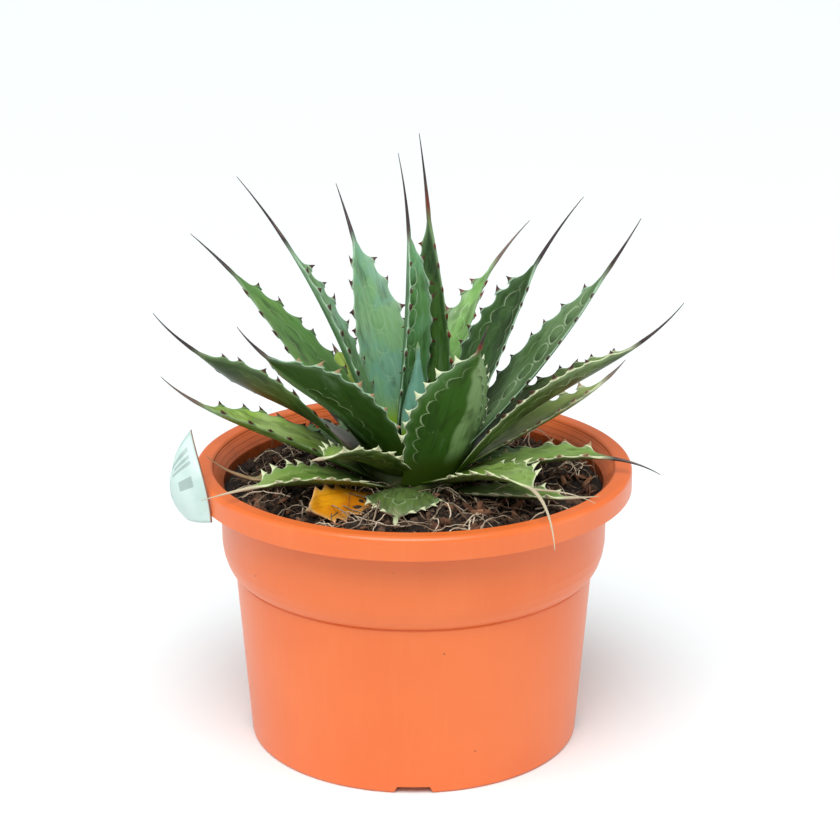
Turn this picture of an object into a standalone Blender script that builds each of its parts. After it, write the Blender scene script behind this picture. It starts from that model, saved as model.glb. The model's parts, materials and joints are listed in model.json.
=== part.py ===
"""A young agave in a round nursery pot: the pot, its soil, a plain tag, the short stem and every leaf."""

from collections import namedtuple
from math import copysign, cos, pi, radians, sin

import bmesh
import bpy
from mathutils import Vector

# Pot (metres). The rim's diameter drives the rest.
RIM_RADIUS = 0.120
MOUTH_RADIUS = 0.110
POT_HEIGHT = 0.157
RIM_ROUND = 0.003
MOUTH_ROUND = 0.002
SKIRT_BOTTOM = 0.1443
GROOVE_TOP = 0.1493
COLLAR_RADIUS = 0.1066
COLLAR_FOOT_RADIUS = 0.1005
STEP_HEIGHT = 0.0990
LEDGE = 0.0015
FOOT_RADIUS = 0.0916
FOOT_BEVEL = 0.0012
WALL = 0.0022
FLOOR = 0.0065
POT_SEGMENTS = 48
# How the collar curves in above the step: (inset from its radius, height above the step).
COLLAR_CURVE = ((0.0006, 0.0150), (0.0014, 0.0095), (0.0030, 0.0045), (0.0046, 0.0015))
BULGE_INSET = 0.0016
BULGE_HEIGHT = 0.0110

# Drainage: channels under the floor, each ending in a notch in the foot, with two holes in it.
CHANNELS = 4
CHANNEL_HEIGHT = 0.004
CHANNEL_WIDTH_TOP = 0.0175
CHANNEL_WIDTH_BOTTOM = 0.0215
CHANNEL_START = 0.032
HOLE_RADIUS = 0.0045
HOLE_PLACES = (0.046, 0.078)
CUT_BEYOND = 0.010
CUT_BELOW = 0.002

# Soil and stem.
GAP = 0.0003
SOIL_HEIGHT = 0.1415
SOIL_SEGMENTS = 24
SOIL_RINGS = 6
SOIL_ROUGHNESS = 0.0010
SOIL_SMOOTH_EDGE = 0.001
STEM_RADIUS = 0.028
STEM_CENTRE_HEIGHT = 0.144
STEM_BOTTOM = 0.112
STEM_BOTTOM_RADIUS = 0.020
STEM_SHOULDER = 0.126
STEM_SEGMENTS = SOIL_SEGMENTS

# Leaf blade, shared by all leaves.
KEEL_THICKNESS = 0.0038
MARGIN_THICKNESS = 0.0010
BASE_SHARE = 0.45
TOOTH_HEIGHT = 0.0022
TOOTH_HOOK = 0.0012
TOOTH_HALF_WIDTH = 0.0022
SCALLOP_DEPTH = 0.0008
FIRST_TOOTH = 0.20
LAST_TOOTH = 0.90
SPINE_RADIUS = 0.0015
SPINE_TIP_RADIUS = 0.0004
SPINE_CURL = radians(25)
ROLL_END = 0.625
PATH_STEPS = 60

# Tag, stuck by one edge to the outside of the rim. Angles in degrees round the pot.
TAG_THICKNESS = 0.0008
TAG_FOOT = 0.1410
TAG_HEIGHT = 0.0440
TAG_ANGLE = 207.2
TAG_TURN = -13
TAG_BOW = 3.6
TAG_SEAT = 0.0003
TAG_LEAN = 0.0022
TAG_FREE_FOOT = Vector((-0.1237, -0.0350, 0.1366))
TAG_FREE_TOP = Vector((-0.1280, -0.0400, 0.1680))
TAG_FREE_BOW = Vector((-0.004, -0.003, 0.0))
TAG_BELLY = Vector((-0.002, -0.003, 0.0))
TAG_COLUMNS = 5
TAG_ROWS = 6

# azimuth: heading seen from above, 0 along +X, 90 along +Y; seat: place on the stem, 0 at its top, 90 at its side;
# rise: slope at the base, bend: its change along the leaf, curl: more change, mostly near the tip; side: turn to the
# left along the leaf (all in degrees). length: blade, spine: end thorn, width: widest place (metres).
# fold: how far each half of the blade curls up, or down where it is negative; roll: how far the blade twists about
# its middle line (degrees). teeth: on each margin; full: how far out the blade stays wide.
Leaf = namedtuple("Leaf", "azimuth seat rise bend curl side length spine width fold roll teeth full")

LEAVES = {
    "leaf_bud": Leaf(285, 18, 86, 8, 0, 0, 0.053, 0.003, 0.022, 75, 0, 0, 2),
    "leaf_01": Leaf(150, 12, 95, -6, -13, 0, 0.114, 0.042, 0.030, 60, 0, 7, 6),
    "leaf_02": Leaf(54, 29, 82, 23, -2, 0, 0.128, 0.042, 0.035, 50, 0, 7, 3),
    "leaf_03": Leaf(117, 30, 62, -8, -7, 0, 0.118, 0.032, 0.036, 40, 0, 6, 4),
    "leaf_04": Leaf(22, 46, 66, -8, -12, 0, 0.114, 0.041, 0.040, 40, 15, 7, 4),
    "leaf_05": Leaf(302, 60, 65, -4, 0, 0, 0.088, 0.016, 0.053, 50, -4, 7, 4),
    "leaf_06": Leaf(174, 39, 73, -19, -4, 0, 0.124, 0.043, 0.025, 55, 0, 7, 4),
    "leaf_07": Leaf(113, 49, 53, -4, 0, 0, 0.090, 0.012, 0.020, 40, 0, 6, 4),
    "leaf_08": Leaf(218, 44, 54.5, -44, 45, -7, 0.104, 0.022, 0.054, 35, 25, 7, 4),
    "leaf_09": Leaf(72, 44, 53, -20, -2, -30, 0.118, 0.033, 0.027, 40, 0, 7, 3),
    "leaf_10": Leaf(1, 53, 48, 6, 6, 8, 0.134, 0.030, 0.040, 40, 18, 7, 3),
    "leaf_11": Leaf(158, 50, 50, -6, -8, 2, 0.128, 0.029, 0.040, 20, 0, 7, 4),
    "leaf_12": Leaf(90, 56, 44, -6, 0, 0, 0.092, 0.014, 0.021, 35, 0, 6, 4),
    "leaf_13": Leaf(356, 68, 50, -50, 55, 0, 0.120, 0.032, 0.046, 60, -12, 8, 4),
    "leaf_14": Leaf(129, 62, 48, -4, 0, 0, 0.064, 0.005, 0.032, 35, 0, 6, 10),
    "leaf_15": Leaf(172, 66, 42, -42, 52, 0, 0.114, 0.029, 0.042, 25, 52, 7, 4),
    "leaf_16": Leaf(76, 62, 38, -6, 0, 0, 0.090, 0.014, 0.032, 35, 0, 6, 4),
    "leaf_17": Leaf(191, 73, 30, -22, 40, 0, 0.102, 0.024, 0.044, 40, 0, 6, 4),
    "leaf_18": Leaf(19, 73, 25, -14, 36, 0, 0.098, 0.013, 0.026, 50, 0, 6, 4),
    "leaf_19": Leaf(316, 72, 18, -4, -68, -40, 0.081, 0.045, 0.036, 40, 0, 5, 5),
    "leaf_20": Leaf(52, 74, 12, 0, 8, 0, 0.062, 0.016, 0.032, 35, 0, 6, 4),
    "leaf_21": Leaf(234, 60, 36, -34, 0, -12, 0.057, 0.006, 0.038, 45, 10, 5, 4),
    "leaf_22": Leaf(92, 78, 16, 0, 8, 0, 0.085, 0.020, 0.032, 35, 0, 6, 4),
    "leaf_23": Leaf(148, 80, 14, 0, 8, 0, 0.054, 0.010, 0.030, 35, 0, 6, 4),
    "leaf_24": Leaf(349, 80, 20, -13, -36, 0, 0.084, 0.027, 0.030, 40, 0, 5, 5),
    "leaf_25": Leaf(262, 80, 24, -50, -30, 0, 0.042, 0.003, 0.042, -45, 0, 4, 3),
    "leaf_26": Leaf(218, 80, 21, -30, 4, -6, 0.080, 0.029, 0.032, 45, 0, 6, 5),
    "leaf_27": Leaf(120, 86, 8, 0, 6, 0, 0.060, 0.018, 0.030, 35, 0, 5, 4),
    "leaf_28": Leaf(194, 87, 4, 0, 46, 0, 0.070, 0.022, 0.014, 60, 0, 4, 5),
    "leaf_29": Leaf(22, 88, 8, 0, 6, 0, 0.050, 0.008, 0.030, 35, 0, 4, 4),
    "leaf_30": Leaf(326, 88, 9, -8, 18, 0, 0.073, 0.017, 0.022, 40, 0, 5, 5),
    "leaf_dry": Leaf(230, 89, 9, -3, 0, 0, 0.058, 0.002, 0.020, 15, -45, 4, 12),
}


def make_material(name, color, roughness):
    material = bpy.data.materials.new(name)
    material.use_nodes = True
    shader = material.node_tree.nodes["Principled BSDF"]
    shader.inputs["Base Color"].default_value = (*color, 1.0)
    shader.inputs["Roughness"].default_value = roughness
    shader.inputs["Metallic"].default_value = 0.0
    return material


def face_outwards(mesh_data):
    bmesh.ops.recalc_face_normals(mesh_data, faces=mesh_data.faces)
    if mesh_data.calc_volume(signed=True) < 0:
        bmesh.ops.reverse_faces(mesh_data, faces=mesh_data.faces)


def add_object(name, mesh_data, parent, material, sharp_angle=35):
    """Finishes a bmesh as one shaded object under its parent."""
    face_outwards(mesh_data)
    mesh = bpy.data.meshes.new(name)
    mesh_data.to_mesh(mesh)
    mesh_data.free()
    mesh.shade_smooth()
    mesh.set_sharp_from_angle(angle=radians(sharp_angle))
    mesh.materials.append(material)
    obj = bpy.data.objects.new(name, mesh)
    bpy.context.collection.objects.link(obj)
    obj.parent = parent
    return obj


def turned(profile, segments):
    """A bmesh of the closed profile of (radius, height) points turned about the Z axis."""
    mesh_data = bmesh.new()
    points = [mesh_data.verts.new((radius, 0.0, height)) for radius, height in profile]
    edges = [mesh_data.edges.new((a, b)) for a, b in zip(points, points[1:])]
    if profile[0][0] > 0:
        edges.append(mesh_data.edges.new((points[-1], points[0])))
    bmesh.ops.spin(
        mesh_data, geom=points + edges, cent=(0, 0, 0), axis=(0, 0, 1),
        angle=2 * pi, steps=segments, use_merge=True, use_duplicate=False,
    )
    bmesh.ops.remove_doubles(mesh_data, verts=mesh_data.verts, dist=1e-6)
    return mesh_data


def arc(centre, radius, start, end, steps):
    """Points of (radius, height) along an arc, angles in degrees from the outward direction."""
    angles = [radians(start + (end - start) * i / steps) for i in range(steps + 1)]
    return [(centre[0] + radius * cos(a), centre[1] + radius * sin(a)) for a in angles]


def wall_radius(height):
    """Outer radius of the tapered body, below the step."""
    body_top = COLLAR_FOOT_RADIUS - LEDGE
    return FOOT_RADIUS + (body_top - FOOT_RADIUS) * height / STEP_HEIGHT


def collar_outline():
    """The collar's outer side from under the rim down to the step: straight, then curving in."""
    curve = [(COLLAR_RADIUS - inset, STEP_HEIGHT + height) for inset, height in COLLAR_CURVE]
    return [(COLLAR_RADIUS, GROOVE_TOP), *curve, (COLLAR_FOOT_RADIUS, STEP_HEIGHT)]


def bulge_radius():
    """The wall's inner radius where the collar starts to curve in."""
    return COLLAR_RADIUS - BULGE_INSET - WALL


def pot_profile():
    """The pot's section from the rim to the axis: (points down the outside, points up the inside)."""
    skirt_inside = RIM_RADIUS - WALL
    outside = arc((RIM_RADIUS - RIM_ROUND, POT_HEIGHT - RIM_ROUND), RIM_ROUND, 90, 0, 3)
    outside += [(RIM_RADIUS, SKIRT_BOTTOM), (skirt_inside, SKIRT_BOTTOM)]
    outside += [(skirt_inside, GROOVE_TOP)]
    outside += collar_outline()
    outside += [(COLLAR_FOOT_RADIUS - LEDGE, STEP_HEIGHT - LEDGE)]
    outside += [(FOOT_RADIUS, FOOT_BEVEL), (FOOT_RADIUS - FOOT_BEVEL, 0.0), (0.0, 0.0)]
    inside = [(0.0, FLOOR), (wall_radius(FLOOR) - WALL, FLOOR)]
    inside += [(wall_radius(STEP_HEIGHT) - WALL, STEP_HEIGHT)]
    inside += [(bulge_radius(), STEP_HEIGHT + BULGE_HEIGHT)]
    inside += [(COLLAR_RADIUS - WALL, SKIRT_BOTTOM), (COLLAR_RADIUS - WALL, GROOVE_TOP)]
    inside += arc((MOUTH_RADIUS + MOUTH_ROUND, POT_HEIGHT - MOUTH_ROUND), MOUTH_ROUND, 180, 90, 2)
    return outside, inside


def make_channel_cutter(index):
    """A sloping-sided bar along one drainage channel, with the two round holes standing in it."""
    angle = radians(-90 + 360 * index / CHANNELS)
    length = FOOT_RADIUS + CUT_BEYOND - CHANNEL_START
    high = CHANNEL_WIDTH_TOP / 2
    flare = (CHANNEL_WIDTH_BOTTOM / 2 - high) / CHANNEL_HEIGHT
    low = high + flare * (CHANNEL_HEIGHT + CUT_BELOW)
    outline = [(-low, -CUT_BELOW), (low, -CUT_BELOW), (high, CHANNEL_HEIGHT), (-high, CHANNEL_HEIGHT)]
    mesh_data = bmesh.new()
    face = mesh_data.faces.new([mesh_data.verts.new((CHANNEL_START, y, z)) for y, z in outline])
    moved = bmesh.ops.extrude_face_region(mesh_data, geom=[face])["geom"]
    far_points = [item for item in moved if isinstance(item, bmesh.types.BMVert)]
    bmesh.ops.translate(mesh_data, verts=far_points, vec=(length, 0, 0))
    face_outwards(mesh_data)
    mesh = bpy.data.meshes.new(f"channel_cutter_{index}")
    mesh_data.to_mesh(mesh)
    mesh_data.free()
    obj = bpy.data.objects.new(mesh.name, mesh)
    obj.rotation_euler.z = angle
    return obj


def make_hole_cutter(index, place):
    angle = radians(-90 + 360 * index / CHANNELS)
    mesh_data = bmesh.new()
    bmesh.ops.create_cone(
        mesh_data, cap_ends=True, segments=12,
        radius1=HOLE_RADIUS, radius2=HOLE_RADIUS, depth=2 * FLOOR,
    )
    mesh = bpy.data.meshes.new("hole_cutter")
    mesh_data.to_mesh(mesh)
    mesh_data.free()
    obj = bpy.data.objects.new(f"hole_cutter_{index}_{round(place * 1000)}", mesh)
    obj.location = (place * cos(angle), place * sin(angle), FLOOR + CHANNEL_HEIGHT / 2)
    return obj


def make_pot(parent):
    outside, inside = pot_profile()
    # Starts and ends on the axis, so the turned surface closes there.
    start = outside.index((0.0, 0.0))
    rim = list(reversed(outside[:start + 1])) + list(reversed(inside))
    mesh_data = turned(rim, POT_SEGMENTS)
    pot = add_object("pot", mesh_data, parent, make_material("pot", (0.80, 0.25, 0.10), 0.45))
    cutters = bpy.data.collections.new("pot_cutters")
    bpy.context.scene.collection.children.link(cutters)
    for index in range(CHANNELS):
        cutters.objects.link(make_channel_cutter(index))
        for place in HOLE_PLACES:
            cutters.objects.link(make_hole_cutter(index, place))
    for cutter in cutters.objects:
        cutter.hide_render = True
        cutter.display_type = "WIRE"
        cutter.parent = parent
    drainage = pot.modifiers.new("drainage", "BOOLEAN")
    drainage.operand_type = "COLLECTION"
    drainage.collection = cutters
    drainage.operation = "DIFFERENCE"
    return pot


def soil_relief(x, y):
    """Height of the soil's lumps above its level, between -1 and 1."""
    waves = sin(171 * x + 40 * y + 0.4) * cos(133 * y - 61 * x)
    return 0.6 * waves + 0.4 * sin(310 * x - 1.3) * sin(287 * y + 0.9)


def make_soil(parent):
    """Fills the pot up to its level, with a plain hole that the stem stands in."""
    margin = WALL + 2 * GAP
    edge = COLLAR_RADIUS - WALL - 3 * GAP
    hole = STEM_RADIUS + GAP
    profile = [(0.0, STEM_BOTTOM - GAP), (STEM_BOTTOM_RADIUS + GAP, STEM_BOTTOM - GAP), (hole, STEM_SHOULDER)]
    profile += [(hole + (edge - hole) * i / SOIL_RINGS, SOIL_HEIGHT) for i in range(SOIL_RINGS + 1)]
    profile += [(bulge_radius() - 2 * GAP, STEP_HEIGHT + BULGE_HEIGHT)]
    profile += [(wall_radius(STEP_HEIGHT) - margin, STEP_HEIGHT)]
    profile += [(wall_radius(FLOOR) - margin, FLOOR + GAP), (0.0, FLOOR + GAP)]
    mesh_data = turned(profile, SOIL_SEGMENTS)
    for point in mesh_data.verts:
        radius = point.co.xy.length
        inner = hole + SOIL_SMOOTH_EDGE < radius < edge - SOIL_SMOOTH_EDGE
        if inner and point.co.z > SOIL_HEIGHT - GAP:
            point.co.z += SOIL_ROUGHNESS * soil_relief(point.co.x, point.co.y)
    return add_object("soil", mesh_data, parent, make_material("soil", (0.05, 0.03, 0.02), 0.95))


def make_stem(parent):
    """A domed stump: the leaves sit all over its upper half."""
    profile = [(0.0, STEM_BOTTOM), (STEM_BOTTOM_RADIUS, STEM_BOTTOM), (STEM_RADIUS, STEM_SHOULDER)]
    dome = arc((0.0, STEM_CENTRE_HEIGHT), STEM_RADIUS, 0, 90, 6)
    profile += dome[:-1] + [(0.0, STEM_CENTRE_HEIGHT + STEM_RADIUS)]
    mesh_data = turned(profile, STEM_SEGMENTS)
    return add_object("stem", mesh_data, parent, make_material("stem", (0.33, 0.38, 0.06), 0.6))


def blade_share(along, full):
    """The blade's width as a share of its widest place: a narrow neck, then wide, then drawn out to the spine."""
    neck = sin(pi / 2 * min(along / 0.45, 1.0)) ** 0.8
    return (BASE_SHARE + (1 - BASE_SHARE) * neck) * (1 - min(along, 1.0) ** full) ** 1.5


def leaf_path(leaf):
    """Places and frames down the middle of the leaf: (place, forward, up, across) at each step."""
    seat, azimuth = radians(leaf.seat), radians(leaf.azimuth)
    outward = Vector((sin(seat) * cos(azimuth), sin(seat) * sin(azimuth), cos(seat)))
    tilt = abs(sin(radians(leaf.rise + leaf.seat - 90)))
    clearance = GAP + KEEL_THICKNESS / 2 * tilt
    place = Vector((0, 0, STEM_CENTRE_HEIGHT)) + (STEM_RADIUS + clearance) * outward
    step = (leaf.length + leaf.spine) / PATH_STEPS
    frames = []
    for i in range(PATH_STEPS + 1):
        share = i / PATH_STEPS
        slope = radians(leaf.rise + leaf.bend * share + leaf.curl * share**3)
        heading = radians(leaf.azimuth + leaf.side * share)
        forward = Vector((cos(slope) * cos(heading), cos(slope) * sin(heading), sin(slope)))
        level_up = Vector((-sin(slope) * cos(heading), -sin(slope) * sin(heading), cos(slope)))
        level_across = Vector((sin(heading), -cos(heading), 0.0))
        turn = radians(leaf.roll * min(share / ROLL_END, 1.0))
        up = level_up * cos(turn) + level_across * sin(turn)
        across = level_across * cos(turn) - level_up * sin(turn)
        if frames:
            place = place + (frames[-1][1] + forward) / 2 * step
        frames.append((place, forward, up, across))
    return frames


def frame_at(frames, share):
    """The frame at this share of the leaf's length, between two steps."""
    position = share * PATH_STEPS
    index = min(int(position), PATH_STEPS - 1)
    return [a.lerp(b, position - index) for a, b in zip(frames[index], frames[index + 1])]


def leaf_stations(leaf):
    """Where rings stand: (share of the whole length, place along the blade, 1 at a tooth and -1 at a scallop)."""
    blade = leaf.length / (leaf.length + leaf.spine)
    places = [(0.0, 0), (0.04, 0), (0.10, 0)]
    if leaf.teeth:
        pitch = (LAST_TOOTH - FIRST_TOOTH) / leaf.teeth
        half_width = min(TOOTH_HALF_WIDTH / leaf.length, pitch * 0.3)
        for i in range(leaf.teeth):
            tooth = FIRST_TOOTH + pitch * (i + 0.5)
            places += [(tooth - pitch / 2 + half_width / 2, -1), (tooth - half_width, 0), (tooth, 1)]
    else:
        places += [(0.3, 0), (0.5, 0), (0.7, 0), (0.85, 0)]
    places += [(0.93, 0), (0.97, 0)]
    stations = [(along * blade, along, kind) for along, kind in places]
    stations += [(blade + (1 - blade) * i / 4, 1.0, 0) for i in range(5)]
    return stations


def spine_radius(share):
    return (SPINE_RADIUS - SPINE_TIP_RADIUS) * (1 - share) ** 0.8 * (1 - 0.75 * share) + SPINE_TIP_RADIUS


def leaf_ring(leaf, frame, share, along, kind):
    """Seven points round the leaf: three on the upper face, four on the lower."""
    place, forward, up, across = frame
    blade = leaf.length / (leaf.length + leaf.spine)
    on_spine = share >= blade
    thorn = spine_radius(max(share - blade, 0.0) / (1 - blade))
    half_width = max(leaf.width / 2 * blade_share(along, leaf.full), thorn)
    half_width += {1: TOOTH_HEIGHT, 0: 0.0, -1: -SCALLOP_DEPTH}[kind]
    curl = radians(leaf.fold) * (0.35 + 0.65 * min(along * 1.4, 1.0))
    curl = copysign(min(abs(curl), SPINE_CURL), curl) if on_spine else curl
    keel = 2 * thorn if on_spine else KEEL_THICKNESS * (1 - 0.45 * along)
    keel = min(keel, max(1.6 * half_width, 0.0008))
    margin = min(keel, max(0.0008, 1.2 * thorn) if on_spine else MARGIN_THICKNESS)

    def point(offset, side):
        turn = curl * offset
        bow = half_width / curl
        half = (margin + (keel - margin) * (1 - offset**2)) / 2 * side
        sideways = bow * sin(turn) - half * sin(turn)
        lift = bow * (1 - cos(turn)) + half * cos(turn)
        hook = TOOTH_HOOK if kind == 1 and abs(offset) == 1 else 0.0
        return place + across * sideways + up * lift + forward * hook

    upper = [point(offset, 1) for offset in (-1, 0, 1)]
    lower = [point(offset, -1) for offset in (1, 0.5, -0.5, -1)]
    return upper + lower


def leaf_mesh(leaf):
    frames = leaf_path(leaf)
    mesh_data = bmesh.new()
    rings = []
    for share, along, kind in leaf_stations(leaf):
        ring = leaf_ring(leaf, frame_at(frames, share), share, along, kind)
        rings.append([mesh_data.verts.new(point) for point in ring])
    for ring, following in zip(rings, rings[1:]):
        for i in range(len(ring)):
            j = (i + 1) % len(ring)
            mesh_data.faces.new((ring[i], ring[j], following[i]))
            mesh_data.faces.new((ring[j], following[j], following[i]))
    for ring in (rings[0], rings[-1]):
        for corners in ((0, 1, 6), (1, 5, 6), (1, 4, 5), (1, 3, 4), (1, 2, 3)):
            mesh_data.faces.new([ring[corner] for corner in corners])
    return mesh_data


def make_leaves(parent):
    green = (0.10, 0.24, 0.11)
    for number, (name, leaf) in enumerate(LEAVES.items()):
        color = (0.75, 0.42, 0.03) if name == "leaf_dry" else [c * (1 + 0.012 * number) for c in green]
        add_object(name, leaf_mesh(leaf), parent, make_material(name, color, 0.5), sharp_angle=50)


def swell(share):
    """0 at both ends and 1 in the middle."""
    return 4 * share * (1 - share)


def tag_point(across, height):
    """A place on the tag's outer face: across from its edge on the rim to its free edge, height from its foot."""
    angle = radians(TAG_ANGLE + TAG_TURN * height + TAG_BOW * swell(height))
    radius = RIM_RADIUS + TAG_SEAT + TAG_LEAN * height
    seated = Vector((radius * cos(angle), radius * sin(angle), TAG_FOOT + TAG_HEIGHT * height))
    free = TAG_FREE_FOOT.lerp(TAG_FREE_TOP, height) + TAG_FREE_BOW * swell(height)
    return seated.lerp(free, across) + TAG_BELLY * swell(across)


def make_tag(parent):
    """A thin bent sheet, stuck by one edge to the rim."""
    mesh_data = bmesh.new()
    rows = [
        [mesh_data.verts.new(tag_point(i / TAG_COLUMNS, j / TAG_ROWS)) for i in range(TAG_COLUMNS + 1)]
        for j in range(TAG_ROWS + 1)
    ]
    for lower, upper in zip(rows, rows[1:]):
        for i in range(TAG_COLUMNS):
            mesh_data.faces.new((lower[i], lower[i + 1], upper[i + 1]))
            mesh_data.faces.new((lower[i], upper[i + 1], upper[i]))
    bmesh.ops.recalc_face_normals(mesh_data, faces=mesh_data.faces)
    bmesh.ops.solidify(mesh_data, geom=mesh_data.faces, thickness=TAG_THICKNESS)
    return add_object("tag", mesh_data, parent, make_material("tag", (0.72, 0.86, 0.80), 0.4))


def clear_scene():
    for obj in list(bpy.data.objects):
        bpy.data.objects.remove(obj, do_unlink=True)


def main():
    clear_scene()
    plant = bpy.data.objects.new("potted_agave", None)
    bpy.context.collection.objects.link(plant)
    make_pot(plant)
    make_soil(plant)
    make_stem(plant)
    make_leaves(plant)
    make_tag(plant)


main()
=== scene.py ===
"""Looks of a young agave in an orange nursery pot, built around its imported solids."""

import json
from collections import namedtuple
from math import cos, pi, radians, sin

import bmesh
import bpy
import numpy as np
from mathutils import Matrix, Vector

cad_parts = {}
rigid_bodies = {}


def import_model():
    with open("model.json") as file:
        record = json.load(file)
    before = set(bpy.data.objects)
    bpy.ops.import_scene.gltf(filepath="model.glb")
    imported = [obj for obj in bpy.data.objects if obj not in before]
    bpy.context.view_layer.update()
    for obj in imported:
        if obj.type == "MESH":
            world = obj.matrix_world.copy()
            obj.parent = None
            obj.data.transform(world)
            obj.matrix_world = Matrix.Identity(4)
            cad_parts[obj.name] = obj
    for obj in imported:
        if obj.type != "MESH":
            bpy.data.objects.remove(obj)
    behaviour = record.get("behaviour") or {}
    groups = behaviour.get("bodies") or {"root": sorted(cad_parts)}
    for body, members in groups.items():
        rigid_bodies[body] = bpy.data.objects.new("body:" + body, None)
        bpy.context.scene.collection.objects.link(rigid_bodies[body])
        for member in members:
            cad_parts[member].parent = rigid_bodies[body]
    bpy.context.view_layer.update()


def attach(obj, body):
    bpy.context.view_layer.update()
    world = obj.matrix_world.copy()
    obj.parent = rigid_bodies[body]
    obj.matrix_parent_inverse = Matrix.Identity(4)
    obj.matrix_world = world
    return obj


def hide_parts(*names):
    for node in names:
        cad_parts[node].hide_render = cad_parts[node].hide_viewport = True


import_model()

BODY = "root"

# Camera: it looks at the target from the front, from this distance and height angle (degrees).
TARGET = Vector((0.0035, 0.0, 0.1802))
CAMERA_DISTANCE = 1.3
CAMERA_ELEVATION = 18.21
CAMERA_LENS = 101.8
SENSOR_WIDTH = 36.0

# Pot, in metres, as in the solids.
RIM_RADIUS = 0.12
MOUTH_RADIUS = 0.11
POT_HEIGHT = 0.157
RIM_ROUND = 0.003
MOUTH_ROUND = 0.002
SKIRT_BOTTOM = 0.1443
GROOVE_TOP = 0.1493
MOUTH_END = 0.1473  # where the narrow mouth meets the collar's inner wall
COLLAR_RADIUS = 0.1066
COLLAR_FOOT_RADIUS = 0.1005
STEP_HEIGHT = 0.099
LEDGE = 0.0015
FOOT_RADIUS = 0.0916
WALL = 0.0022
FLOOR = 0.0065
INNER_RADIUS = COLLAR_RADIUS - WALL
BODY_RADIUS = COLLAR_FOOT_RADIUS - LEDGE  # the body's, just below the collar
POT_SEGMENTS = 192
COLLAR_CURVE = ((0.0006, 0.015), (0.0014, 0.0095), (0.003, 0.0045), (0.0046, 0.0015))
BULGE_INSET = 0.0016
BULGE_HEIGHT = 0.011
CHANNELS = 4
CHANNEL_HEIGHT = 0.004
CHANNEL_WIDTH_TOP = 0.0175
CHANNEL_WIDTH_BOTTOM = 0.0215
CHANNEL_START = 0.032
HOLE_RADIUS = 0.0045
HOLE_PLACES = (0.046, 0.078)
MOUTH_LINES = (0.154, 0.1515, 0.149)  # heights of the fine lines inside the mouth
LINE_DEPTH = 0.00015
GROOVE = ((0, 0.0022), (0.0006, 0.0014), (0.0006, 0.0007))  # below the collar's foot: (depth, how low)
FOOT_BEVEL = 0.0012
OUTLINE_ROUND = 0.0003
ROUND_STEPS = 4
NUB_PLACES = (-0.0052, 0.0058)  # where the two moulding nubs stand under the rim, across the front
NUB_RADIUS = 0.0016

# Soil and stem.
SOIL_HEIGHT = 0.1415
STEM_RADIUS = 0.028
STEM_CENTRE_HEIGHT = 0.144
STEM_BOTTOM = 0.112
STUMP_INSET = 0.002  # how much slimmer the stump is than the solid stem
STUMP_SHOULDER = 0.135
HEAP_HEIGHT = 0.004
HEAP_RADIUS = 0.03
LUMP_HEIGHT = 0.0012
FINE_HEIGHT = 0.0004
CRUMBS = 4300
LARGE_CRUMBS = 700
BARK_CHIPS = 170
ROOTS = 330
ROOT_SIDES = 5
ROOT_STEPS = 12
SOIL_RINGS = 90
SOIL_SEGMENTS = 220

# Tag, stuck by one edge to the outside of the rim, as in the solids. Angles in degrees round the pot.
TAG_THICKNESS = 0.0008
TAG_FOOT = 0.141
TAG_HEIGHT = 0.044
TAG_ANGLE = 207.2
TAG_TURN = -13
TAG_BOW = 3.6
TAG_SEAT = 0.0003
TAG_LEAN = 0.0022
TAG_FREE_FOOT = np.array([-0.1237, -0.035, 0.1366])
TAG_FREE_TOP = np.array([-0.128, -0.04, 0.168])
TAG_FREE_BOW = np.array([-0.004, -0.003, 0.0])
TAG_BELLY = np.array([-0.002, -0.003, 0.0])
TAG_COLUMNS = 16
TAG_ROWS = 28
# Plain bars for print: left, right, low and high, as shares of the sheet.
TAG_BARS = (
    (0.2, 0.85, 0.86, 0.9),
    (0.2, 0.7, 0.79, 0.82),
    (0.2, 0.8, 0.73, 0.76),
    (0.25, 0.6, 0.48, 0.6),
)

# Leaf prints and colours that all leaves share.
OVAL_HALF_WIDTH = 0.0042
WAX = (176, 200, 184)
PRINT_LINE = (206, 222, 190)
SPINE_STREAK = (150, 132, 116)
SPLIT_SPINE = "leaf_19"
STRAND_REACH = np.array([0.02, 0.000, 0.025])  # from the spine's tip to the tip of its second strand

# Light: an even white world, a broad light from above and soft boxes: (name, place, power).
WORLD_LIGHT = 0.38
TOP_LIGHT = 2.65
TOP_LIGHT_WIDTH = 44
TOP_LIGHT_TURN = (radians(30), radians(-5), 0)
SOFT_BOXES = (
    ("left", (-1.6, -0.3, 0.7), 5),
    ("right", (1.6, -0.3, 0.7), 5),
    ("front", (0.0, -2.2, 1.4), 1),
)
SOFT_BOX_SIZE = 1.4
SOFT_BOX_TARGET = Vector((0, 0, 0.12))
FLOOR_REACH = 8
FLOOR_COLOURS = ((0.86, 0.92, 0.935, 1), (0.88, 0.94, 0.955, 1))

# Leaf blade, shared by all leaves, as in the solids.
GAP = 0.0003
KEEL_THICKNESS = 0.0038
MARGIN_THICKNESS = 0.001
FIRST_TOOTH = 0.2
LAST_TOOTH = 0.9
SPINE_RADIUS = 0.0013
SPINE_TIP_RADIUS = 0.0002
SPINE_CURL = radians(25)
ROLL_END = 0.625
PATH_STEPS = 240

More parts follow.
